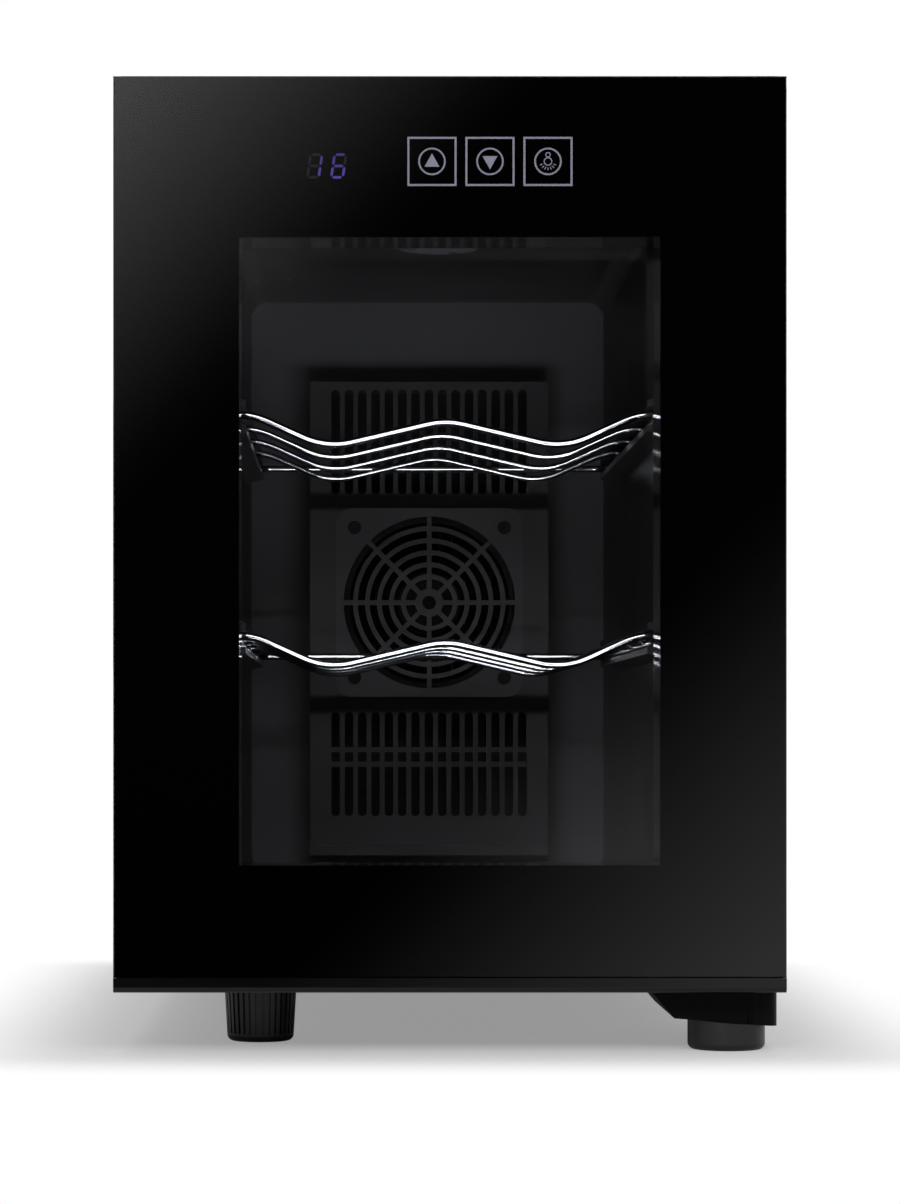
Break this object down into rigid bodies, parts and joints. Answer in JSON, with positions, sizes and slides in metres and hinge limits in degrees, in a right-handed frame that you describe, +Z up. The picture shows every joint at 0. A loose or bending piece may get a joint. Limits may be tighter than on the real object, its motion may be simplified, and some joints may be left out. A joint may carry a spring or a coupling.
{
  "type": "wine cooler",
  "caption": "Table-top thermoelectric wine cooler with a black glass door hinged on the right, wavy wire shelves, an inner fan guard and a rear exhaust fan.",
  "frame": {"origin": "on the floor, under the middle of the whole object", "axes": "+Z up, front with the door faces -Y, +X to the right seen from the front"},
  "size_m": [0.252, 0.505, 0.366],
  "materials": {
    "front_glass": "polished",
    "inner_glass": "polished",
    "door_plastic": "gloss",
    "gasket": "matte",
    "liner_plastic": "satin",
    "guard_plastic": "satin",
    "black_steel": "satin",
    "bracket_plastic": "satin",
    "foot_plastic": "satin",
    "foam": "matte",
    "zinc_steel": "satin",
    "fan_plastic": "satin",
    "aluminium": "satin",
    "ceramic": "matte",
    "circuit_board": "satin",
    "lens": "satin",
    "bush": "satin",
    "brass": "satin",
    "copper_pad": "satin",
    "display": "gloss",
    "chrome": "polished"
  },
  "bodies": {
    "cabinet": {"inner_liner": "liner_plastic", "outer_shell": "black_steel", "base_pan": "black_steel", "foam_fill": "foam", "foam_plate": "zinc_steel", "back_panel": "black_steel", "back_screws": "zinc_steel", "exhaust_guard": "guard_plastic", "circulation_fan_frame": "fan_plastic", "exhaust_fan_frame": "fan_plastic", "cold_sink": "aluminium", "cold_block": "aluminium", "peltier_module": "ceramic", "hot_sink": "aluminium", "rear_air_cover": "liner_plastic", "fan_guard_plate": "guard_plastic", "guard_screws": "black_steel", "power_board": "circuit_board", "power_inlet": "guard_plastic", "light_lens": "lens", "light_board": "circuit_board", "lower_hinge_bracket": "bracket_plastic", "lower_hinge_pin": "zinc_steel", "upper_hinge_bracket": "black_steel", "upper_hinge_pin": "zinc_steel", "hinge_screws": "zinc_steel", "hinge_foot": "foot_plastic", "levelling_nut": "brass", "rear_feet": "foot_plastic", "lower_left_guide": "liner_plastic", "lower_right_guide": "liner_plastic", "upper_left_guide": "liner_plastic", "upper_right_guide": "liner_plastic"},
    "door": {"front_glass": "front_glass", "door_frame": "door_plastic", "door_bottom_trim": "door_plastic", "inner_pane": "inner_glass", "lower_hinge_bush": "bush", "upper_hinge_bush": "bush", "door_gasket": "gasket", "touch_pads": "copper_pad", "display_module": "display", "control_board": "circuit_board"},
    "upper_shelf": {"upper_shelf_frame": "chrome", "upper_shelf_front_wire": "chrome", "upper_shelf_wires": "chrome"},
    "lower_shelf": {"lower_shelf_frame": "chrome", "lower_shelf_front_wire": "chrome", "lower_shelf_wires": "chrome"},
    "circulation_rotor": {"circulation_fan_rotor": "fan_plastic"},
    "exhaust_rotor": {"exhaust_fan_rotor": "fan_plastic"},
    "front_left_foot": {"levelling_foot": "foot_plastic"}
  },
  "joints": [
    {"name": "door_hinge", "type": "hinge", "parent": "cabinet", "child": "door", "pos_m": [0.118, -0.2305, 0.19], "axis": [0, 0, 1], "range_deg": [0, 115]},
    {"name": "upper_shelf_slide", "type": "slide", "parent": "cabinet", "child": "upper_shelf", "axis": [0, -1, 0], "range_m": [0, 0.085]},
    {"name": "lower_shelf_slide", "type": "slide", "parent": "cabinet", "child": "lower_shelf", "axis": [0, -1, 0], "range_m": [0, 0.085]},
    {"name": "circulation_fan_spin", "type": "hinge", "parent": "cabinet", "child": "circulation_rotor", "pos_m": [0, 0.14, 0.1828], "axis": [0, 1, 0], "continuous": true},
    {"name": "exhaust_fan_spin", "type": "hinge", "parent": "cabinet", "child": "exhaust_rotor", "pos_m": [0, 0.238, 0.1828], "axis": [0, 1, 0], "continuous": true},
    {"name": "foot_height", "type": "slide", "parent": "cabinet", "child": "front_left_foot", "axis": [0, 0, -1], "range_m": [0, 0.006]}
  ],
  "couplings": [
    {"joint": "upper_shelf_slide", "follows": "door_hinge", "m_per_rad": 0.042},
    {"joint": "lower_shelf_slide", "follows": "door_hinge", "m_per_rad": 0.042}
  ]
}
